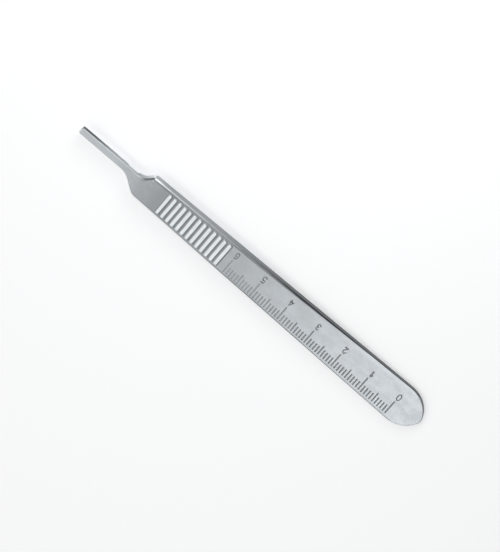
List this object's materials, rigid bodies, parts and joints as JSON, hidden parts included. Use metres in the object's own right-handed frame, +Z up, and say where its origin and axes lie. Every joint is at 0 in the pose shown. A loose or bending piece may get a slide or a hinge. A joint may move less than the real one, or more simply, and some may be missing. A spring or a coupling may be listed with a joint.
{
  "type": "scalpel handle",
  "caption": "Flat steel scalpel handle with a slotted blade fitting, a ribbed grip and an engraved ruler on a tapering, rounded tail.",
  "frame": {"origin": "on the floor, under the middle of the bounding box", "axes": "+X from the tip of the tang to the tail, +Y towards the spine side of the blade, +Z up, out of the face with the ruler"},
  "size_m": [0.125, 0.0123, 0.0041],
  "materials": {
    "satin_steel": "satin"
  },
  "bodies": {
    "root": {"scalpel_handle": "satin_steel"}
  },
  "joints": []
}
